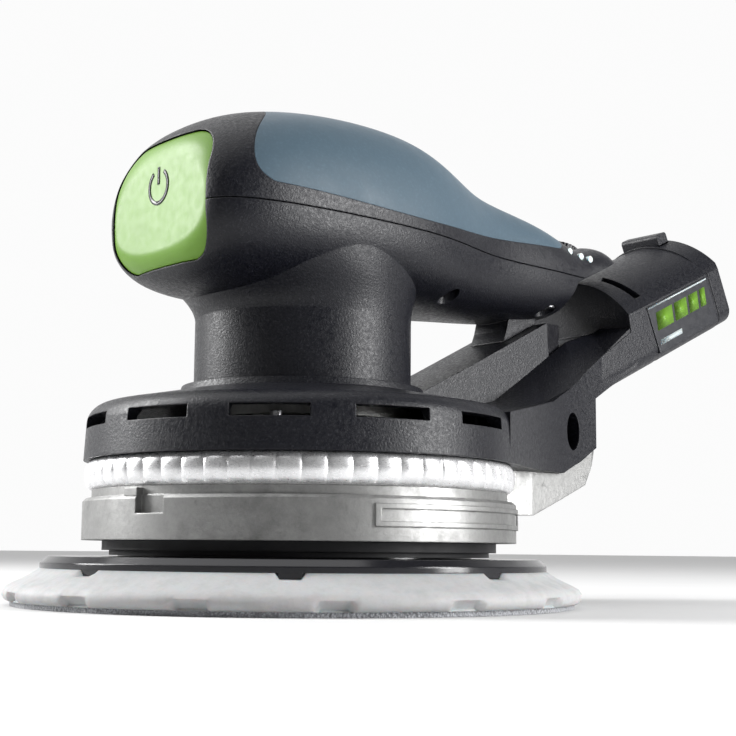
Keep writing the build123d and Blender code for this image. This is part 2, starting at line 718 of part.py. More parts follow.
def label_block(start, depth):
    """Plate outline on the flat side of the hood, extruded from Y = start by depth."""
    corners = [duct_point(35.5, 2.8), duct_point(69.0, 2.8), duct_point(69.0, 17.8), duct_point(35.5, 17.8)]
    with BuildPart() as block:
        with BuildSketch(Plane.XZ.offset(-start)):
            with BuildLine():
                Polyline(*corners, close=True)
            make_face()
        extrude(amount=-depth)
    return block.part


def build_outlet():
    """Dust outlet sleeve with its collar, seal, latch, latch spring and the two label plates."""
    with BuildPart() as dust_outlet_sleeve:
        with BuildSketch(duct_plane(DUCT_END)):
            add(arch_face(DUCT_HALF - 0.4, DUCT_SHOULDER, DUCT_CREST + 0.6))
        extrude(amount=COLLAR_END - DUCT_END)
        outer_edges = dust_outlet_sleeve.faces().sort_by(Axis.X)[-1].edges()
        chamfer(outer_edges, 1.2)
        with BuildSketch(duct_plane(SLEEVE_FOOT + 0.2)):
            with Locations((0, OUTLET_CENTRE)):
                Circle(OUTLET_RADIUS + 1.4)
        extrude(amount=DUCT_END - SLEEVE_FOOT)
        with BuildSketch(duct_plane(SLEEVE_FOOT - 1)):
            with Locations((0, OUTLET_CENTRE)):
                Circle(OUTLET_RADIUS)
        extrude(amount=COLLAR_END - SLEEVE_FOOT + 3, mode=Mode.SUBTRACT)
        with BuildSketch(duct_plane(LATCH_AT)):
            with Locations((0, LATCH_FLOOR)):
                Rectangle(16.0, 10, align=(Align.CENTER, Align.MIN))
        extrude(amount=6.2, mode=Mode.SUBTRACT)
    keep("dust_outlet_sleeve", dust_outlet_sleeve)

    with BuildPart() as outlet_seal:
        with BuildSketch(duct_plane(SEAL_AT + 0.1)):
            with Locations((0, OUTLET_CENTRE)):
                Circle(OUTLET_RADIUS + 2.15)
                Circle(OUTLET_RADIUS + 1.42, mode=Mode.SUBTRACT)
        extrude(amount=2.0)
    keep("outlet_seal", outlet_seal)

    with BuildPart() as hose_latch:
        with BuildSketch(duct_plane(LATCH_AT + 0.4)):
            with Locations((0, LATCH_FLOOR + 1.7)):
                Rectangle(15.2, 3.6, align=(Align.CENTER, Align.MIN))
        extrude(amount=5.4)
        top_edges = hose_latch.edges().filter_by(Axis.Y).sort_by(Axis.Z)[-2:]
        fillet(top_edges, 1.2)
    keep("hose_latch", hose_latch)

    spring_plane = duct_plane(LATCH_AT + 3.1)
    up = spring_plane.y_dir
    with BuildPart() as latch_spring:
        base = Plane(origin=spring_plane.from_local_coords((0, LATCH_FLOOR + 0.2, 0)), z_dir=up)
        coil = Helix(pitch=0.62, height=1.24, radius=1.8)
        coil = base.location * coil
        with BuildLine():
            add(coil)
        with BuildSketch(Plane(origin=coil @ 0, z_dir=coil % 0)):
            Circle(0.17)
        sweep(is_frenet=True)
    keep("latch_spring", latch_spring)

    for sign, side in ((-1, "left"), (1, "right")):
        with BuildPart() as plate:
            add(label_block(sign * (DUCT_HALF - 0.5), sign * 0.8))
        keep(f"label_plate_{side}", plate)


# ---- grip shells --------------------------------------------------------------------------
def tail_cutter(drop, wall=0.0):
    """Space above the duct that the tail of the grip must leave free."""
    knee = duct_point(TAIL_KNEE, TAIL_CLEAR + drop)
    end = TAIL_END - wall
    points = [(88.4 - wall, 60), (88.8 - wall, 90), (knee[0] - wall, knee[1]), duct_point(90, TAIL_CLEAR + drop)]
    with BuildPart() as cutter:
        add(side_prism([*points, (180, 60)], 50))
        add(side_prism([(end, 60), (180, 60), (180, 140), (end, 140)], 50))
    return cutter.part


def column():
    """Web that carries the tail of the grip on the ridge of the base cover."""
    return side_prism([(70.0, 76.8), (84.0, 83.8), (84.0, 90.0), (74.0, 90.0), (71.5, 80.5)], 7.0)


def screw_tower(x, y, low, high, radius):
    """Upright cylinder used for screw bosses and their clearance holes."""
    with BuildPart() as tower:
        with Locations((x, y, low)):
            Cylinder(radius, high - low, align=(Align.CENTER, Align.CENTER, Align.MIN))
    return tower.part


def build_shells():
    """Upper and lower grip shells, soft overmould, and the screws that join them."""
    outer = grip_body().part - tail_cutter(0)
    inner = grip_body(WALL).part - tail_cutter(2.4, 2.4)
    skin = grip_body(GRIP_SKIN).part
    neck = neck_body(0.0, NECK_FOOT).part
    neck_inner = neck_body(NECK_RADIUS - NECK_INNER, NECK_FOOT - 2).part
    seam_low = PARTING - SEAM

    with BuildPart() as grip_zone:
        with BuildSketch(Plane.XZ):
            with BuildLine():
                front = Spline((-17, 135), (-27, 124), (-36.5, 113), (-37.5, 107), (-33, 102.6))
                edge = Spline(front @ 1, (-10, 101.6), (20, 101.0), (46, 102.6), (68, 104.4), (82, 105.4))
                ThreePointArc(edge @ 1, (87, 108.8), (85.5, 116))
                Polyline((85.5, 116), (85.5, 135), front @ 0)
            make_face()
        extrude(amount=40, both=True)

    with BuildPart() as nose_opening:
        with BuildSketch(Plane.YZ.offset(-60)):
            with Locations((0, BUTTON_CENTRE)):
                RectangleRounded(BUTTON_WIDTH + 0.8, BUTTON_HEIGHT + 0.8, 9.4)
        extrude(amount=25)

    with BuildPart() as soft_grip:
        add(outer)
        add(skin, mode=Mode.SUBTRACT)
        add(grip_zone.part, mode=Mode.INTERSECT)
    keep("soft_grip", soft_grip)

    with BuildPart() as upper_shell:
        add(outer)
        add(inner, mode=Mode.SUBTRACT)
        for x, y in GRIP_SCREWS:
            add(screw_tower(x, y, PARTING, 126.0, 3.4))
        add(outer, mode=Mode.INTERSECT)
        add(side_prism([(-60, 60), (130, 60), (130, PARTING), (-60, PARTING)], 50), mode=Mode.SUBTRACT)
        add(grip_zone.part - skin, mode=Mode.SUBTRACT)
        add(nose_opening.part, mode=Mode.SUBTRACT)
        for x, y in GRIP_SCREWS:
            add(screw_tower(x, y, 90, 105.0, 1.6), mode=Mode.SUBTRACT)
        with BuildSketch(DIAL_PLANE):
            Circle(DIAL_RADIUS + 0.4)
        extrude(amount=8, mode=Mode.SUBTRACT)
        with BuildSketch(DIAL_PLANE.offset(-5)):
            Circle(1.7)
        extrude(amount=6, mode=Mode.SUBTRACT)
        for x, z in LIGHTS:
            with BuildSketch(Plane.XZ.offset(12)):
                with Locations((x, z)):
                    Circle(1.15)
            extrude(amount=10, mode=Mode.SUBTRACT)
    keep("upper_shell", upper_shell)

    with BuildPart() as lower_shell:
        add(outer)
        add(neck)
        add(column())
        add(inner, mode=Mode.SUBTRACT)
        add(neck_inner, mode=Mode.SUBTRACT)
        for x, y in GRIP_SCREWS:
            add(screw_tower(x, y, 82, seam_low, 4.4))
        with BuildPart(mode=Mode.PRIVATE) as envelope:
            add(outer)
            add(neck)
            add(column())
        add(envelope.part, mode=Mode.INTERSECT)
        cap = [(-60, seam_low), (130, seam_low), (130, 140), (-60, 140)]
        add(side_prism(cap, 50), mode=Mode.SUBTRACT)
        add(nose_opening.part, mode=Mode.SUBTRACT)
        add(side_prism([(-33.5, 80.5), (-29.5, 80.5), (-29.5, 95), (-33.5, 95)], 4.0))
        for x, y in GRIP_SCREWS:
            add(screw_tower(x, y, 70, SCREW_SEAT, 3.1), mode=Mode.SUBTRACT)
            add(screw_tower(x, y, 70, 120, 1.6), mode=Mode.SUBTRACT)
        for x in BOARD_POSTS:
            add(screw_tower(x, 0, 83.5, BOARD_BOTTOM, 2.5))
    keep("lower_shell", lower_shell)

    with BuildPart() as grip_screws:
        for x, y in GRIP_SCREWS:
            add(screw_tower(x, y, SCREW_SEAT - 2.0, SCREW_SEAT, 2.9))
            add(screw_tower(x, y, SCREW_SEAT, 104.5, 1.5))
    keep("grip_screws", grip_screws)


# ---- controls and electronics -------------------------------------------------------------
def build_controls():
    """Front button with its spring and switch, speed dial and indicator lights."""
    with BuildPart() as power_button:
        add(grip_body(0.35).part)
        with BuildSketch(Plane.YZ.offset(-60)):
            with Locations((0, BUTTON_CENTRE)):
                RectangleRounded(BUTTON_WIDTH, BUTTON_HEIGHT, 9.0)
        extrude(amount=22, mode=Mode.INTERSECT)
        with Locations((-38, 0, BUTTON_CENTRE)):
            Box(6, BUTTON_WIDTH - 8, BUTTON_HEIGHT - 8, mode=Mode.SUBTRACT)
        with BuildSketch(Plane.YZ.offset(-42)):
            with Locations((0, BUTTON_CENTRE)):
                Circle(3.0)
        extrude(amount=8.6)
    keep("power_button", power_button)

    with BuildPart() as button_spring:
        base = Plane(origin=(-40.4, 0, BUTTON_CENTRE), z_dir=(1, 0, 0))
        coil = base.location * Helix(pitch=2.2, height=8.8, radius=4.6)
        with BuildLine():
            add(coil)
        with BuildSketch(Plane(origin=coil @ 0, z_dir=coil % 0)):
            Circle(0.4)
        sweep(is_frenet=True)
    keep("button_spring", button_spring)

    with BuildPart() as power_switch:
        with Locations((-24, 0, BUTTON_CENTRE)):
            Box(14, 14, 12)
        with BuildSketch(Plane.YZ.offset(-32)):
            with Locations((0, BUTTON_CENTRE)):
                Circle(2.3)
        extrude(amount=8, mode=Mode.SUBTRACT)
    keep("power_switch", power_switch)

    with BuildPart() as switch_plunger:
        with BuildSketch(Plane.YZ.offset(-33.0)):
            with Locations((0, BUTTON_CENTRE)):
                Circle(2.2)
        extrude(amount=6.4)
    keep("switch_plunger", switch_plunger)

    with BuildPart() as speed_dial:
        with BuildSketch(DIAL_PLANE.offset(0.3)):
            Circle(DIAL_RADIUS)
            with PolarLocations(DIAL_RADIUS + 0.15, 30):
                Circle(0.35, mode=Mode.SUBTRACT)
        extrude(amount=3.6)
        chamfer(speed_dial.faces().sort_by(Axis.Z)[-1].edges(), 0.3)
        with BuildSketch(DIAL_PLANE.offset(-2.2)):
            Circle(1.5)
        extrude(amount=3.0)
    keep("speed_dial", speed_dial)

    with BuildPart() as indicator_lights:
        for x, z in LIGHTS:
            with BuildSketch(Plane.XZ.offset(13.4)):
                with Locations((x, z)):
                    Circle(1.05)
            extrude(amount=3.2)
    keep("indicator_lights", indicator_lights)


def build_electronics():
    """Control board with its parts and the battery interface."""
    with BuildPart() as control_board:
        with Locations((54, 0, BOARD_BOTTOM + 0.8)):
            Box(47, 23, 1.6)
        with Locations((44, 0, BOARD_BOTTOM + 2.8)):
            Box(9, 9, 2.4)
        with Locations((44, 8, BOARD_BOTTOM + 2.4), (44, -8, BOARD_BOTTOM + 2.4)):
            Box(6, 4, 1.8)
    keep("control_board", control_board)

    with BuildPart() as board_capacitors:
        for y in (-5.6, 5.6):
            with BuildSketch(Plane.YZ.offset(54)):
                with Locations((y, BOARD_BOTTOM + 6.6)):
                    Circle(5.0)
            extrude(amount=20)
    keep("board_capacitors", board_capacitors)

    with BuildPart() as terminal_block:
        with Locations((87.6, 0, 77.6)):
            Box(5.2, 22, 12.0)
        with Locations(*[(90.0, y, 77.6) for y in TERMINALS]):
            Box(1.2, 3.4, 8.6, mode=Mode.SUBTRACT)
    keep("terminal_block", terminal_block)

    with BuildPart() as terminal_contacts:
        with Locations(*[(90.2, y, 77.6) for y in TERMINALS]):
            Box(1.2, 2.6, 8.0)
    keep("terminal_contacts", terminal_contacts)

    with BuildPart() as battery_rails:
        for x in (94.0, 102.0):
            low = bay_floor(x)
            high = bay_floor(x + 3.0)
            add(side_prism([(x, low), (x + 3.0, high), (x + 2.0, high + 2.2), (x - 1.0, low + 2.2)], 11.8))
        add(rear_block(), mode=Mode.SUBTRACT)
        add(hood(), mode=Mode.SUBTRACT)
    keep("battery_rails", battery_rails)


os.makedirs("parts", exist_ok=True)
build_pad()
build_rotor()
build_motor()
build_fan_housing()
build_base_cover()
build_outlet()
build_shells()
build_controls()
build_electronics()
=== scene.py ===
"""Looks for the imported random-orbit sander: studio, camera, materials and fine detail pieces."""

import json
import math
import random

import bmesh
import bpy
from mathutils import Matrix, Vector
from mathutils.bvhtree import BVHTree
from mathutils.geometry import delaunay_2d_cdt


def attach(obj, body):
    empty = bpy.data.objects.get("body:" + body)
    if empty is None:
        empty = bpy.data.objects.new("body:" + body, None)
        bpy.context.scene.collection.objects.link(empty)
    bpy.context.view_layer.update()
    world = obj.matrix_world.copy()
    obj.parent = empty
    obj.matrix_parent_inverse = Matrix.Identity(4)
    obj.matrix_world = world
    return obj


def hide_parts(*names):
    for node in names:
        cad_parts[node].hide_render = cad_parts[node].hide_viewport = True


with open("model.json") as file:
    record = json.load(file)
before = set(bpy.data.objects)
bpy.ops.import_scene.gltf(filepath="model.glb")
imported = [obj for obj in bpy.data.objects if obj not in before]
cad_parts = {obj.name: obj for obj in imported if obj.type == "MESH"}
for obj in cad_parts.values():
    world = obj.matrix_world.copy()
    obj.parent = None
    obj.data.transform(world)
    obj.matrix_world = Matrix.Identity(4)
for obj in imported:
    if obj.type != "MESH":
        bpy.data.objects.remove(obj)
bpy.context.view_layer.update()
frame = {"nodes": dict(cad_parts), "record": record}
NODES = frame["nodes"]
MM = 0.001


# ---- materials ----------------------------------------------------------------------------
class Finish:
    """Builds one Principled material whose detail comes from procedural nodes in row-frame metres."""

    def __init__(self, name, color, rough, metal=0.0, **sockets):
        self.mat = bpy.data.materials.new(name)
        self.mat.use_nodes = True
        self.tree = self.mat.node_tree
        self.shader = self.tree.nodes["Principled BSDF"]
        self.shader.inputs["Base Color"].default_value = (*color, 1.0)
        self.shader.inputs["Roughness"].default_value = rough
        self.shader.inputs["Metallic"].default_value = metal
        for key, value in sockets.items():
            self.shader.inputs[key.replace("_", " ")].default_value = value
        self.color = color
        self.place = self.tree.nodes.new("ShaderNodeTexCoord").outputs["Object"]
        edges = self.tree.nodes.new("ShaderNodeBevel")
        edges.samples = 4
        edges.inputs["Radius"].default_value = 0.45 * MM
        self.height = edges.outputs["Normal"]

    def link(self, a, b):
        self.tree.links.new(a, b)

    def stretched(self, factors):
        """Coordinates scaled per axis, for brushed or turned marks."""
        node = self.tree.nodes.new("ShaderNodeMapping")
        node.inputs["Scale"].default_value = factors
        self.link(self.place, node.inputs["Vector"])
        return node.outputs["Vector"]

    def noise(self, size_mm, detail=3.0, rough=0.55, factors=None):
        node = self.tree.nodes.new("ShaderNodeTexNoise")
        node.inputs["Scale"].default_value = 1000.0 / size_mm
        node.inputs["Detail"].default_value = detail
        node.inputs["Roughness"].default_value = rough
        self.link(self.stretched(factors) if factors else self.place, node.inputs["Vector"])
        return node.outputs["Fac"]

    def cells(self, size_mm):
        node = self.tree.nodes.new("ShaderNodeTexVoronoi")
        node.inputs["Scale"].default_value = 1000.0 / size_mm
        self.link(self.place, node.inputs["Vector"])
        return node.outputs["Distance"]

    def spread(self, value, low, high, to_low, to_high):
        node = self.tree.nodes.new("ShaderNodeMapRange")
        for key, number in zip(("From Min", "From Max", "To Min", "To Max"), (low, high, to_low, to_high)):
            node.inputs[key].default_value = number
        self.link(value, node.inputs["Value"])
        return node.outputs["Result"]

    def tint(self, value, other, low=0.35, high=0.65):
        """Blends the colour towards another one where value is high."""
        node = self.tree.nodes.new("ShaderNodeMix")
        node.data_type = "RGBA"
        source = self.shader.inputs["Base Color"]
        if source.is_linked:
            self.link(source.links[0].from_socket, node.inputs["A"])
        else:
            node.inputs["A"].default_value = (*self.color, 1.0)
        node.inputs["B"].default_value = (*other, 1.0)
        self.link(self.spread(value, low, high, 0.0, 1.0), node.inputs["Factor"])
        self.link(node.outputs["Result"], source)
        return self

    def vary_rough(self, value, low, high):
        self.link(self.spread(value, 0.3, 0.7, low, high), self.shader.inputs["Roughness"])
        return self

    def bump(self, value, depth_mm, strength=1.0):
        node = self.tree.nodes.new("ShaderNodeBump")
        node.inputs["Strength"].default_value = strength
        node.inputs["Distance"].default_value = depth_mm * MM
        self.link(value, node.inputs["Height"])
        self.link(self.height, node.inputs["Normal"])
        self.height = node.outputs["Normal"]
        self.link(self.height, self.shader.inputs["Normal"])
        return self


def grained_plastic(name, color, rough, grain_mm=0.45, depth=0.05):
    """Spark-eroded moulded plastic: fine grain, with the grain peaks painted paler as painted glints in small
    flecks.
    """
    look = Finish(name, color, rough, Specular_IOR_Level=0.34)
    grain = look.noise(grain_mm, 3.0, 0.6)
    look.bump(grain, depth, 1.0)
    look.vary_rough(look.noise(grain_mm * 1.7, 2.0), rough - 0.12, rough + 0.12)
    # painted highlight: the grain peaks are tinted paler to stand in for glints of light
    glint_color = tuple(min(1.0, c * 1.6 + 0.016) for c in color)
    look.tint(grain, glint_color, 0.52, 0.78)
    return look.mat


def cast_metal(name, color, rough):
    """Bead-blasted die casting with cloudy patches, fine pits and handling marks."""
    look = Finish(name, color, rough, 1.0)
    cloud = look.noise(9.0, 6.0, 0.7)
    look.tint(cloud, tuple(c * 0.62 for c in color), 0.42, 0.7)
    look.tint(look.noise(1.6, 5.0, 0.75), tuple(c * 0.72 for c in color), 0.55, 0.75)
    look.vary_rough(cloud, rough - 0.12, rough + 0.16)
    look.bump(look.noise(0.7, 4.0, 0.7), 0.05, 0.8)
    look.bump(look.cells(1.4), 0.03, 0.5)
    return look.mat


def ground_metal(name, color, rough, factors=(1, 1, 12), metal=1.0):
    """Ground or turned metal with fine marks; a metal value under 1 gives a satin, frosted look."""
    look = Finish(name, color, rough, metal)
    marks = look.noise(0.9, 3.0, 0.6, factors)
    look.bump(marks, 0.012, 0.7)
    look.vary_rough(marks, rough - 0.07, rough + 0.1)
    look.tint(look.noise(7.0, 3.0), tuple(c * 0.8 for c in color), 0.4, 0.8)
    return look.mat


def smooth_plastic(name, color, rough, **sockets):
    """Gloss moulding with the faint orange peel and dust haze of a real one."""
    look = Finish(name, color, rough, **sockets)
    look.bump(look.noise(0.9, 2.0), 0.006, 0.6)
    look.vary_rough(look.noise(2.2, 4.0), max(0.04, rough - 0.03), rough + 0.04)
    look.tint(look.noise(18.0, 3.0), tuple(c * 0.86 for c in color), 0.35, 0.75)
    return look.mat


def soft_rubber(name, color, rough):
    """Silky overmould or rubber: fine matt skin with slight mottling."""
    look = Finish(name, color, rough, Sheen_Weight=0.1, Sheen_Roughness=0.4, Specular_IOR_Level=0.34)
    look.bump(look.noise(0.5, 3.0, 0.6), 0.018, 0.7)
    look.bump(look.noise(11.0, 2.0), 0.05, 0.4)
    look.vary_rough(look.noise(8.0, 3.0), rough - 0.06, rough + 0.08)
    look.tint(look.noise(0.8, 3.0, 0.7), tuple(min(1.0, c * 1.25) for c in color), 0.5, 0.75)
    return look.mat


def foam_skin(name, color):
    """Moulded polyurethane foam with a closed skin, small pores and cloudy tone."""
    look = Finish(name, color, 0.62, Subsurface_Weight=0.25, Subsurface_Scale=0.004)
    pores = look.cells(0.9)
    look.bump(pores, 0.05, 0.6)
    look.bump(look.noise(5.0, 4.0), 0.12, 0.5)
    look.tint(look.noise(6.0, 6.0, 0.7), tuple(c * 0.83 for c in color), 0.45, 0.75)
    look.tint(look.noise(0.7, 3.0, 0.7), tuple(c * 0.88 for c in color), 0.58, 0.75)
    look.vary_rough(look.noise(3.0, 3.0), 0.5, 0.75)
    return look.mat


def hook_cloth(name, color):
    """Hook-and-loop face: dense short hooks."""
    look = Finish(name, color, 0.9, Sheen_Weight=0.6, Sheen_Roughness=0.5)
    hooks = look.cells(0.55)
    look.bump(hooks, 0.35, 1.0)
    look.tint(hooks, tuple(c * 0.45 for c in color), 0.35, 0.7)
    look.tint(look.noise(12.0, 4.0), tuple(c * 0.8 for c in color), 0.4, 0.8)
    return look.mat


def wound_copper(name, color):
    """Enamelled winding: close parallel strands."""
    look = Finish(name, color, 0.28, 0.9, Coat_Weight=0.6, Coat_Roughness=0.12)
    wave = look.tree.nodes.new("ShaderNodeTexWave")
    wave.bands_direction = "Z"
    wave.inputs["Scale"].default_value = 330.0
    wave.inputs["Distortion"].default_value = 1.2
    look.link(look.place, wave.inputs["Vector"])
    look.bump(wave.outputs["Fac"], 0.18, 0.9)
    look.tint(wave.outputs["Fac"], tuple(c * 0.55 for c in color), 0.2, 0.8)
    return look.mat


def stacked_steel(name, color):
    """Thin laminations stacked along the motor axis."""
    look = Finish(name, color, 0.4, 1.0)
    wave = look.tree.nodes.new("ShaderNodeTexWave")
    wave.bands_direction = "Z"
    wave.inputs["Scale"].default_value = 620.0
    look.link(look.place, wave.inputs["Vector"])
    look.bump(wave.outputs["Fac"], 0.06, 0.8)
    look.tint(look.noise(5.0, 4.0), tuple(c * 0.7 for c in color), 0.4, 0.75)
    look.vary_rough(look.noise(2.0, 3.0), 0.3, 0.5)
    return look.mat


BLACK = (0.0052, 0.0056, 0.0092)
LOOKS = {
    "black_plastic": grained_plastic("black_plastic", BLACK, 0.40, 0.55, 0.11),
    "soft_touch": soft_rubber("soft_touch", (0.054, 0.090, 0.120), 0.54),
    "green_plastic": smooth_plastic("green_plastic", (0.135, 0.29, 0.020), 0.42, Specular_IOR_Level=0.36),
    "cast_aluminium": cast_metal("cast_aluminium", (0.34, 0.34, 0.335), 0.42),
    "bright_aluminium": ground_metal("bright_aluminium", (0.93, 0.93, 0.94), 0.30, (1, 1, 9), 0.75),
    "black_rubber": soft_rubber("black_rubber", (0.014, 0.014, 0.016), 0.55),
    "gloss_black": smooth_plastic("gloss_black", (0.010, 0.010, 0.013), 0.16),
    "white_foam": foam_skin("white_foam", (0.44, 0.445, 0.45)),
    "hook_fabric": hook_cloth("hook_fabric", (0.46, 0.47, 0.50)),
    "steel": ground_metal("steel", (0.58, 0.58, 0.59), 0.28),
    "plated_steel": ground_metal("plated_steel", (0.47, 0.47, 0.49), 0.34, (1, 1, 1)),
    "lamination": stacked_steel("lamination", (0.33, 0.34, 0.36)),
    "magnet": ground_metal("magnet", (0.25, 0.25, 0.27), 0.3),
    "copper": wound_copper("copper", (0.72, 0.30, 0.10)),
    "grey_plastic": grained_plastic("grey_plastic", (0.16, 0.165, 0.175), 0.5, 0.7, 0.03),
    "board_green": smooth_plastic("board_green", (0.012, 0.11, 0.045), 0.35),
    "brass_contact": ground_metal("brass_contact", (0.80, 0.61, 0.28), 0.24),
    "capacitor_blue": smooth_plastic("capacitor_blue", (0.02, 0.045, 0.16), 0.28),
    # this pale finish also paints the highlight strip along the label plates' top edges
    "clear_light": smooth_plastic("clear_light", (0.72, 0.78, 0.76), 0.3, Subsurface_Weight=0.2),
    "label_film": smooth_plastic("label_film", (0.020, 0.021, 0.026), 0.34),
}
SMOOTH_ANGLE = math.radians(28)
for entry in frame["record"]["subparts"]:
    node = NODES[entry["node"]]
    node.data.materials.clear()
    node.data.materials.append(LOOKS[entry["material_slot"]])


# ---- detail pieces ------------------------------------------------------------------------
def piece(name, mesh, slot, body):
    """Adds a mesh as a piece of the object, in the row frame, riding on a CAD body."""
    obj = bpy.data.objects.new(name, mesh)
    bpy.context.scene.collection.objects.link(obj)
    mesh.materials.append(LOOKS[slot])
    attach(obj, body)
    return obj


def mesh_from(name, build):
    """Mesh made by a function that fills a bmesh given in millimetres."""
    work = bmesh.new()
    build(work)
    bmesh.ops.recalc_face_normals(work, faces=work.faces)
    bmesh.ops.scale(work, vec=(MM, MM, MM), verts=work.verts)
    mesh = bpy.data.meshes.new(name)
    work.to_mesh(mesh)
    work.free()
    mesh.shade_smooth()
    return mesh


def frame_point(along, across, up):
    """Row-frame point (mm) from distances along, across and square to the dust duct."""
    rise = math.radians(24.5)
    return (
        91.7 + along * math.cos(rise) - up * math.sin(rise),
        across,
        59.5 + along * math.sin(rise) + up * math.cos(rise),
    )


def lathe_sector(work, profile, start, stop, steps, wobble):
    """Sweeps a closed (radius, height) profile through part of a turn; wobble shifts each radius."""
    rows = []
    for step in range(steps + 1):
        turn = start + (stop - start) * step / steps
        row = []
        for index, (radius, height) in enumerate(profile):
            reach = radius + wobble(step, index)
            row.append(work.verts.new((reach * math.cos(turn), reach * math.sin(turn), height)))
        rows.append(row)
    count = len(profile)
    for a, b in zip(rows, rows[1:]):
        for i in range(count):
            j = (i + 1) % count
            work.faces.new((a[i], a[j], b[j], b[i]))
    work.faces.new(rows[0][::-1])
    work.faces.new(rows[-1])


def cooling_ring():
    """Bright ribbed ring: sixty shallow convex lobes between narrow grooves."""
    flutes, per_flute = 60, 14  # lobes in a full turn, and mesh steps in each
    open_angle = math.degrees(math.asin(26.6 / 55.0))  # half the gap that the metal duct needs
    span = 360.0 - 2 * open_angle
    low, high = 29.32, 36.88
    arc = 11
    outer = []
    for i in range(arc):
        t = math.pi * (i / (arc - 1) - 0.5)
        outer.append((54.9 + 2.05 * math.cos(t), (low + high) / 2 + (high - low) / 2 * math.sin(t)))
    profile = [(53.75, low), *outer, (53.75, high)]
    steps = int(flutes * per_flute * span / 360.0)

    def wobble(step, index):
        if index == 0 or index == len(profile) - 1:
            return 0.0
        bulge = math.sin(math.pi * (index - 1) / (arc - 1)) ** 0.6
        phase = (step % per_flute) / per_flute
        lobe = abs(math.sin(math.pi * phase)) ** 0.55
        return bulge * (lobe - 1.0) * 0.68

    def build(work):
        begin = math.radians(open_angle)
        lathe_sector(work, profile, begin, begin + math.radians(span), steps, wobble)

    obj = piece("cooling_ring_ribs", mesh_from("cooling_ring_ribs", build), "bright_aluminium", "housing")
    obj.data.set_sharp_from_angle(angle=math.radians(60))
    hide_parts("cooling_ring")


def in_sector(turn, count, start, half_deg):
    """True where a turn (degrees) lies within half_deg of one of count evenly spaced places."""
    step = 360.0 / count
    return abs((turn - start + step / 2) % step - step / 2) < half_deg


def pierced_disc(rings, holes):
    """Flat triangulation between the first and last ring radius, less round dust holes (mm)."""
    points, edges = [], []
    for radius, count in rings:
        first = len(points)
        for i in range(count):
            turn = 2 * math.pi * i / count
            points.append(Vector((radius * math.cos(turn), radius * math.sin(turn))))
            edges.append((first + i, first + (i + 1) % count))
    hole_loops = []
    for x, y, radius in holes:
        first = len(points)
        for i in range(HOLE_STEPS):
            turn = 2 * math.pi * i / HOLE_STEPS
            points.append(Vector((x + radius * math.cos(turn), y + radius * math.sin(turn))))
            edges.append((first + i, first + (i + 1) % HOLE_STEPS))
        hole_loops.append(list(range(first, first + HOLE_STEPS)))
    verts, _, faces, *_ = delaunay_2d_cdt(points, edges, [], 0, 1e-6)
    low, high = rings[0][0], rings[-1][0]
    kept = []
    for face in faces:
        middle = sum((verts[i] for i in face), Vector((0, 0))) / len(face)
        clear = all(math.hypot(middle.x - x, middle.y - y) > radius * 0.98 for x, y, radius in holes)
        if clear and low * 0.999 < middle.length < high:
            kept.append(face)
    return verts, kept, hole_loops


PAD_X = -1.5  # the pad rests 1.5 mm towards the nose
PAD_BORE = 11.0
BORE_STEPS = 72
MID_STEPS = 180
HOLE_STEPS = 20
NOTCH_FLOOR = 7.85  # bottom of the notches for the tabs of the backing plate
DUST_HOLES = [
    (radius * math.cos(2 * math.pi * i / count), radius * math.sin(2 * math.pi * i / count), size)
    for count, radius, size in ((8, 32.5, 4.5), (8, 47.0, 3.0), (16, 62.0, 2.5))
    for i in range(count)
]


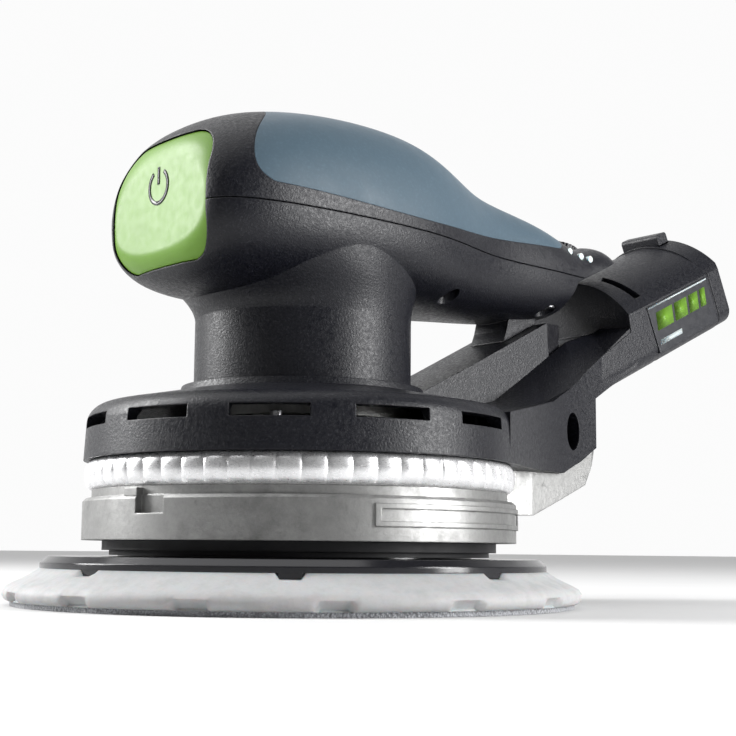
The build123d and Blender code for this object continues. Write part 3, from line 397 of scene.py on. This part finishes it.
def foam_pad():
    """Foam of the sanding pad: skinned flank with plate notches above and edge notches below."""
    base, top, around = 1.2, 9.3, 360
    outer_first = BORE_STEPS + MID_STEPS  # index of the first point of the outer loops
    flank = [
        (74.5, 1.7), (75.0, 2.7), (74.9, 3.7), (74.2, 4.8),
        (72.6, 5.7), (70.6, 6.6), (68.6, 7.6), (67.0, 8.6),
    ]

    def height(radius, turn):
        if radius > 61.2 and in_sector(turn, 8, 7.0, 2.8):
            return NOTCH_FLOOR
        return top

    def build(work):
        rng = random.Random(7)
        low_rings = [(PAD_BORE, BORE_STEPS), (40.0, MID_STEPS), (73.6, around)]
        lower, low_faces, low_holes = pierced_disc(low_rings, DUST_HOLES)
        top_rings = [(PAD_BORE, BORE_STEPS), (40.0, MID_STEPS), (60.9, around), (66.0, around)]
        upper, top_faces, top_holes = pierced_disc(top_rings, DUST_HOLES)
        low_verts = [work.verts.new((PAD_X + v.x, v.y, base)) for v in lower]
        top_verts = []
        for v in upper:
            turn = math.degrees(math.atan2(v.y, v.x))
            top_verts.append(work.verts.new((PAD_X + v.x, v.y, height(v.length, turn))))
        for face in low_faces:
            work.faces.new([low_verts[i] for i in face][::-1])
        for face in top_faces:
            work.faces.new([top_verts[i] for i in face])
        for a, b in zip(low_holes, top_holes):
            for i in range(HOLE_STEPS):
                j = (i + 1) % HOLE_STEPS
                work.faces.new((low_verts[a[i]], low_verts[a[j]], top_verts[b[j]], top_verts[b[i]]))
        rows = [low_verts[outer_first:outer_first + around]]
        for radius, z in flank:
            row = []
            for i in range(around):
                turn = 360.0 * i / around
                reach, lift = radius + rng.uniform(-0.02, 0.02), z
                if z < 3.0 and in_sector(turn, 15, 23.25, 3.0):
                    reach -= 1.5
                if radius < 67.5 and in_sector(turn, 8, 7.0, 2.8):
                    lift = min(z, NOTCH_FLOOR)
                angle = math.radians(turn)
                row.append(work.verts.new((PAD_X + reach * math.cos(angle), reach * math.sin(angle), lift)))
            rows.append(row)
        rows.append(top_verts[outer_first + around:outer_first + 2 * around])
        for a, b in zip(rows, rows[1:]):
            for i in range(around):
                j = (i + 1) % around
                work.faces.new((a[i], a[j], b[j], b[i]))
        for i in range(BORE_STEPS):
            j = (i + 1) % BORE_STEPS
            work.faces.new((low_verts[j], low_verts[i], top_verts[i], top_verts[j]))

    obj = piece("pad_foam_skin", mesh_from("pad_foam_skin", build), "white_foam", "pad")
    obj.data.set_sharp_from_angle(angle=math.radians(50))
    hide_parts("pad_foam")


def hook_cloth_face():
    """Hook-and-loop face of the pad: pierced cloth with a slightly uneven pile."""

    def build(work):
        rng = random.Random(11)
        rings = [(PAD_BORE, BORE_STEPS), (24.0, 120), (40.0, 180), (54.0, 240), (68.0, 300), (73.0, 360)]
        flat, faces, holes = pierced_disc(rings, DUST_HOLES)
        under = [work.verts.new((PAD_X + v.x, v.y, rng.uniform(0.0, 0.06))) for v in flat]
        over = [work.verts.new((PAD_X + v.x, v.y, 1.2)) for v in flat]
        for face in faces:
            work.faces.new([under[i] for i in face][::-1])
            work.faces.new([over[i] for i in face])
        outer_first = sum(count for _, count in rings[:-1])
        outer = range(outer_first, outer_first + rings[-1][1])
        loops = [list(range(BORE_STEPS)), list(outer), *holes]
        for loop in loops:
            for a, b in zip(loop, loop[1:] + loop[:1]):
                work.faces.new((under[a], under[b], over[b], over[a]))

    obj = piece("hook_cloth_face", mesh_from("hook_cloth_face", build), "hook_fabric", "pad")
    obj.data.set_sharp_from_angle(angle=math.radians(50))
    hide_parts("hook_face")


def button_depth(tree, y, z):
    """X (mm) of the button's front surface at a given Y and Z."""
    hit = tree.ray_cast(Vector((-0.08, y * MM, z * MM)), Vector((1, 0, 0)))
    return hit[0].x / MM


def standby_symbol():
    """Generic standby symbol printed on the button: open ring with a bar."""
    source = NODES["power_button"].data
    tree = BVHTree.FromPolygons([v.co for v in source.vertices], [p.vertices for p in source.polygons])
    centre, radius, line, gap = 105.2, 4.3, 1.05, 34.0
    proud, sunk = 0.12, 0.25

    def strip(work, points):
        """Closed ribbon whose edges are pairs of (y, z) points laid on the button."""
        rows = []
        for left, right in points:
            row = []
            for y, z in (left, right):
                x = button_depth(tree, y, z)
                row.append((work.verts.new((x - proud, y, z)), work.verts.new((x + sunk, y, z))))
            rows.append(row)
        for (a, b), (c, d) in zip(rows, rows[1:]):
            work.faces.new((a[0], b[0], d[0], c[0]))
            work.faces.new((a[1], c[1], d[1], b[1]))
            work.faces.new((a[0], c[0], c[1], a[1]))
            work.faces.new((b[0], b[1], d[1], d[0]))
        for (a, b), flip in ((rows[0], 1), (rows[-1], -1)):
            work.faces.new((a[0], a[1], b[1], b[0])[::flip])

    def build(work):
        ring = []
        steps = 60
        for i in range(steps + 1):
            turn = math.radians(90 + gap + (360 - 2 * gap) * i / steps)
            y, z = math.cos(turn), math.sin(turn)
            inner, outer = radius - line / 2, radius + line / 2
            ring.append(((inner * y, centre + inner * z), (outer * y, centre + outer * z)))
        strip(work, ring)
        bar = []
        for i in range(9):
            z = centre + radius * (0.12 + 1.05 * i / 8)
            bar.append(((-line / 2, z), (line / 2, z)))
        strip(work, bar)

    piece("standby_symbol", mesh_from("standby_symbol", build), "gloss_black", "button")


def plate_shape(work, corners, side, base, top):
    """Flat-topped block on a label plate: corners are (along, up) pairs, side is -1 or +1."""
    lower = [work.verts.new(frame_point(s, side * base, v)) for s, v in corners]
    upper = [work.verts.new(frame_point(s, side * top, v)) for s, v in corners]
    work.faces.new(lower[::-1])
    work.faces.new(upper)
    count = len(corners)
    for i in range(count):
        j = (i + 1) % count
        work.faces.new((lower[i], lower[j], upper[j], upper[i]))


def label_graphics():
    """Plain stripes in place of any lettering, a short printed bar, and a pale strip along each plate's top
    edge that is a painted highlight, on both label plates.
    """
    face = 24.3  # distance of the plate's surface from the middle plane
    sunk = face - 0.1

    for side, name in ((-1, "left"), (1, "right")):

        def stripes(work, side=side):
            lean = 1.4
            for start, stop in ((37.6, 46.4), (47.6, 54.6), (55.8, 61.0), (62.2, 65.4)):
                corners = [(start, 9.6), (stop, 9.6), (stop + lean, 15.2), (start + lean, 15.2)]
                plate_shape(work, corners, side, sunk, face + 0.06)

        def print_bar_and_edge_highlight(work, side=side):
            # a short printed bar, and a pale strip along the top edge that is a painted highlight
            short_bar = [(37.2, 5.0), (49.0, 5.0), (49.4, 6.6), (37.6, 6.6)]
            edge_highlight_line = [(35.7, 17.15), (68.8, 17.15), (68.8, 17.6), (35.7, 17.6)]
            plate_shape(work, short_bar, side, sunk, face + 0.06)
            plate_shape(work, edge_highlight_line, side, sunk, face + 0.1)

        piece(f"label_stripes_{name}", mesh_from(f"label_stripes_{name}", stripes), "green_plastic", "housing")
        # painted highlight: the pale clear_light strip stands in for light caught by the plate's top edge
        piece(f"label_bar_and_edge_highlight_{name}", mesh_from(f"label_bar_and_edge_highlight_{name}", print_bar_and_edge_highlight), "clear_light", "housing")


foam_pad()
hook_cloth_face()
cooling_ring()
standby_symbol()
label_graphics()


# ---- studio -------------------------------------------------------------------------------
def studio():
    world = bpy.data.worlds.new("studio_world")
    bpy.context.scene.world = world
    world.use_nodes = True
    nodes, links = world.node_tree.nodes, world.node_tree.links
    direction = nodes.new("ShaderNodeTexCoord").outputs["Generated"]
    towards = nodes.new("ShaderNodeVectorMath")
    towards.operation = "DOT_PRODUCT"
    towards.inputs[1].default_value = (0.64, 0.77, 0.0)
    links.new(direction, towards.inputs[0])
    wall = nodes.new("ShaderNodeMapRange")
    wall.interpolation_type = "SMOOTHSTEP"
    limits = (0.25, 0.85, 0.10, 0.97)  # turn towards the backdrop, then dim room and bright backdrop
    for key, number in zip(("From Min", "From Max", "To Min", "To Max"), limits):
        wall.inputs[key].default_value = number
    links.new(towards.outputs["Value"], wall.inputs["Value"])
    links.new(wall.outputs["Result"], nodes["Background"].inputs["Strength"])
    nodes["Background"].inputs["Color"].default_value = (1.0, 1.0, 1.0, 1.0)

    floor_mesh = bpy.data.meshes.new("floor")
    half = 6.0
    corners = [(-half, -half, 0), (half, -half, 0), (half, half, 0), (-half, half, 0)]
    floor_mesh.from_pydata(corners, [], [(0, 1, 2, 3)])
    floor = bpy.data.objects.new("floor", floor_mesh)
    bpy.context.scene.collection.objects.link(floor)
    look = Finish("floor_paper", (0.64, 0.64, 0.64), 0.9)
    look.tint(look.noise(40.0, 3.0), (0.62, 0.62, 0.625), 0.3, 0.8)
    floor_mesh.materials.append(look.mat)

    def softbox(name, place, target, size, watts):
        light = bpy.data.lights.new(name, "AREA")
        light.shape = "RECTANGLE"
        light.size, light.size_y = size
        light.energy = watts
        lamp = bpy.data.objects.new(name, light)
        lamp.location = place
        lamp.rotation_euler = (Vector(target) - Vector(place)).to_track_quat("-Z", "Y").to_euler()
        bpy.context.scene.collection.objects.link(lamp)

    middle = (0.03, 0.0, 0.06)
    softbox("softbox_left", (-0.50, 0.62, 0.46), middle, (0.24, 0.6), 11.0)
    softbox("softbox_right", (0.44, -0.68, 0.25), middle, (0.20, 0.7), 11.0)
    sky = bpy.data.lights.new("overhead", "SUN")
    sky.energy = 1.5
    sky.angle = math.radians(70)
    lamp = bpy.data.objects.new("overhead", sky)
    lamp.rotation_euler = (math.radians(-12), math.radians(-14), 0.0)
    bpy.context.scene.collection.objects.link(lamp)


def camera():
    """Camera at the place solved from the circles of the pad and housing."""
    forward = Vector((0.6372, 0.7595, 0.1306)).normalized()
    right = Vector((0.7660, -0.6428, 0.0))
    up = right.cross(forward).normalized()
    roll = 0.0087
    side = (right * math.cos(roll) + up * math.sin(roll)).normalized()
    top = (up * math.cos(roll) - right * math.sin(roll)).normalized()
    data = bpy.data.cameras.new("camera")
    data.sensor_width = 36.0
    data.lens = 67.84
    data.clip_start = 0.01
    data.clip_end = 30.0
    obj = bpy.data.objects.new("camera", data)
    turn = Matrix((side, top, -forward)).transposed().to_4x4()
    obj.matrix_world = Matrix.Translation((-0.2256, -0.2963, 0.0143)) @ turn
    bpy.context.scene.collection.objects.link(obj)
    bpy.context.scene.camera = obj


for node in NODES.values():
    node.data.shade_smooth()
    node.data.set_sharp_from_angle(angle=SMOOTH_ANGLE)
studio()
camera()
bpy.context.scene.view_settings.view_transform = "Standard"
